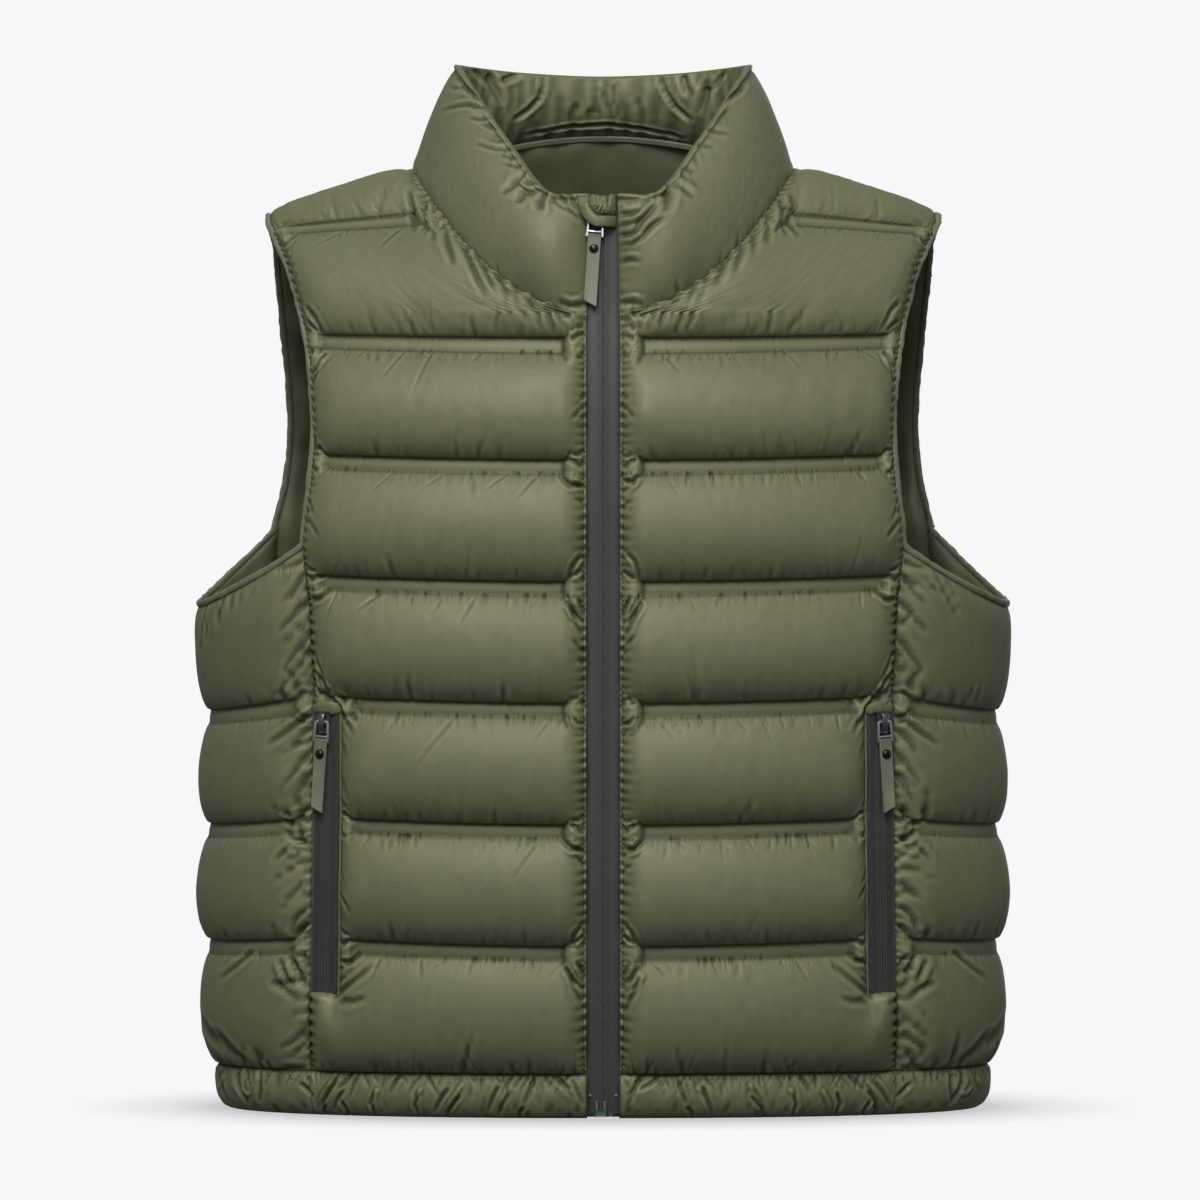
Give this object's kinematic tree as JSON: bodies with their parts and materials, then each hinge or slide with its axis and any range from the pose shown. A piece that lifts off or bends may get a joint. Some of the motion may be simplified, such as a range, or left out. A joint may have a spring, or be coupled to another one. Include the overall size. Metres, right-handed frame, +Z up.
{
  "type": "quilted puffer vest",
  "caption": "Sleeveless quilted down vest with a stand collar, full-length front zip, zipped hand pockets and a gathered hem, held open as if worn.",
  "frame": {"origin": "midway between the two shoulder-neck points, where the wearer's shoulders carry the vest", "axes": "+Z up, -Y out of the front, +X to the wearer's left"},
  "size_m": [0.503, 0.2796, 0.6469],
  "materials": {
    "shell_cloth": "satin olive nylon, quilted over down",
    "binding_cloth": "folded nylon edge binding",
    "zip_tape": "woven dark grey zip tape",
    "zip_metal": "polished",
    "pull_tab": "matte moulded",
    "rivet": "gloss black",
    "zip_box": "satin moulded"
  },
  "bodies": {
    "vest": {"front_left": "shell_cloth", "front_right": "shell_cloth", "back": "shell_cloth", "side_left": "shell_cloth", "side_right": "shell_cloth", "collar": "shell_cloth", "hem_front_left": "shell_cloth", "hem_front_right": "shell_cloth", "hem_side_left": "shell_cloth", "hem_side_right": "shell_cloth", "hem_back": "shell_cloth", "zip_garage": "shell_cloth", "neck_tape": "binding_cloth", "armhole_binding_left": "binding_cloth", "armhole_binding_right": "binding_cloth", "front_zip_tape_left": "zip_tape", "front_zip_tape_right": "zip_tape", "pocket_zip_tape_left": "zip_tape", "pocket_zip_tape_right": "zip_tape", "front_slider": "zip_metal", "pocket_left_slider": "zip_metal", "pocket_right_slider": "zip_metal", "front_zip_box": "zip_box"},
    "front_pull": {"front_pull_frame": "zip_metal", "front_pull_tab": "pull_tab", "front_pull_rivet": "rivet"},
    "pocket_pull_left": {"pocket_left_pull_frame": "zip_metal", "pocket_left_pull_tab": "pull_tab", "pocket_left_pull_rivet": "rivet"},
    "pocket_pull_right": {"pocket_right_pull_frame": "zip_metal", "pocket_right_pull_tab": "pull_tab", "pocket_right_pull_rivet": "rivet"}
  },
  "joints": [
    {"name": "front_pull_swing", "type": "hinge", "parent": "vest", "child": "front_pull", "pos_m": [-0.0044, -0.11989, -0.03453], "axis": [-0.9978, 0.0098, 0.0655], "range_deg": [0, 25]},
    {"name": "pocket_pull_left_swing", "type": "hinge", "parent": "vest", "child": "pocket_pull_left", "pos_m": [0.17008, -0.11882, -0.34009], "axis": [-0.9049, -0.4194, -0.0733], "range_deg": [0, 150]},
    {"name": "pocket_pull_right_swing", "type": "hinge", "parent": "vest", "child": "pocket_pull_right", "pos_m": [-0.17008, -0.11882, -0.34009], "axis": [-0.9049, 0.4194, 0.0733], "range_deg": [0, 150]}
  ]
}
